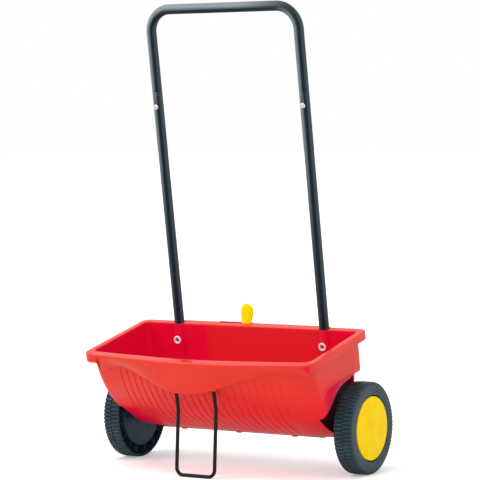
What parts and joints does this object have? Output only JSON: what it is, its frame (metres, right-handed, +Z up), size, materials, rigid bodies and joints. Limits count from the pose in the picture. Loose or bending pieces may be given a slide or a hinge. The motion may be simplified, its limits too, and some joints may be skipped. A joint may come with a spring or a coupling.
{
  "type": "drop spreader",
  "caption": "Push-along lawn spreader: a wheeled trough with a tube handle, a wire stand and a lever that opens metering slots in its floor.",
  "frame": {"origin": "on the ground, under the centre of the bounding box", "axes": "+Z up; +X along the axle towards the driven wheel; -Y is the front, away from the person who pushes it"},
  "size_m": [0.6352, 0.3486, 1.0148],
  "materials": {
    "red_polypropylene": "moulded, satin",
    "black_polypropylene": "moulded, satin",
    "dark_polypropylene": "moulded, satin",
    "yellow_polypropylene": "moulded, satin",
    "nylon": "moulded, natural",
    "white_acetal": "moulded, natural",
    "black_coated_steel": "powder coated, satin",
    "zinc_plated_steel": "bright zinc plated"
  },
  "bodies": {
    "frame": {"hopper": "red_polypropylene", "lower_tube_left": "black_coated_steel", "lower_tube_right": "black_coated_steel", "handle_bow": "black_coated_steel", "stand_wire": "black_coated_steel", "hopper_bolt_left": "zinc_plated_steel", "hopper_bolt_right": "zinc_plated_steel", "hopper_washer_left": "nylon", "hopper_washer_right": "nylon", "hopper_back_washer_left": "zinc_plated_steel", "hopper_back_washer_right": "zinc_plated_steel", "hopper_nut_left": "zinc_plated_steel", "hopper_nut_right": "zinc_plated_steel", "joint_bolt_left": "zinc_plated_steel", "joint_bolt_right": "zinc_plated_steel", "joint_nut_left": "zinc_plated_steel", "joint_nut_right": "zinc_plated_steel", "lever_pivot_screw": "zinc_plated_steel", "lever_front_washer": "zinc_plated_steel", "lever_back_washer": "zinc_plated_steel", "axle_bush_left": "white_acetal", "axle_bush_right": "white_acetal"},
    "axle": {"agitator_axle": "zinc_plated_steel", "agitator_star_1": "black_polypropylene", "agitator_star_2": "black_polypropylene", "agitator_star_3": "black_polypropylene", "agitator_star_4": "black_polypropylene", "agitator_star_5": "black_polypropylene", "agitator_star_6": "black_polypropylene", "drive_pin": "zinc_plated_steel", "axle_spacer_left": "zinc_plated_steel", "axle_spacer_right": "zinc_plated_steel", "wheel_clip_left": "zinc_plated_steel", "wheel_clip_right": "zinc_plated_steel", "wheel_right": "black_polypropylene", "hub_cap_right": "yellow_polypropylene"},
    "free_wheel": {"wheel_left": "black_polypropylene", "hub_cap_left": "yellow_polypropylene"},
    "lever": {"dosing_lever": "yellow_polypropylene"},
    "slide": {"metering_slide": "dark_polypropylene"}
  },
  "joints": [
    {"name": "axle_spin", "type": "hinge", "parent": "frame", "child": "axle", "pos_m": [0, 0.07427, 0.1], "axis": [1, 0, 0], "continuous": true},
    {"name": "free_wheel_spin", "type": "hinge", "parent": "frame", "child": "free_wheel", "pos_m": [-0.2942, 0.07427, 0.1], "axis": [1, 0, 0], "continuous": true},
    {"name": "lever_swing", "type": "hinge", "parent": "frame", "child": "lever", "pos_m": [-0.048, 0.13861, 0.19481], "axis": [0, 0.9772, 0.2122], "range_deg": [-26, 0]},
    {"name": "slide_travel", "type": "slide", "parent": "frame", "child": "slide", "axis": [1, 0, 0], "range_m": [0, 0.0285]}
  ],
  "couplings": [
    {"joint": "slide_travel", "follows": "lever_swing", "m_per_rad": -0.0628}
  ]
}
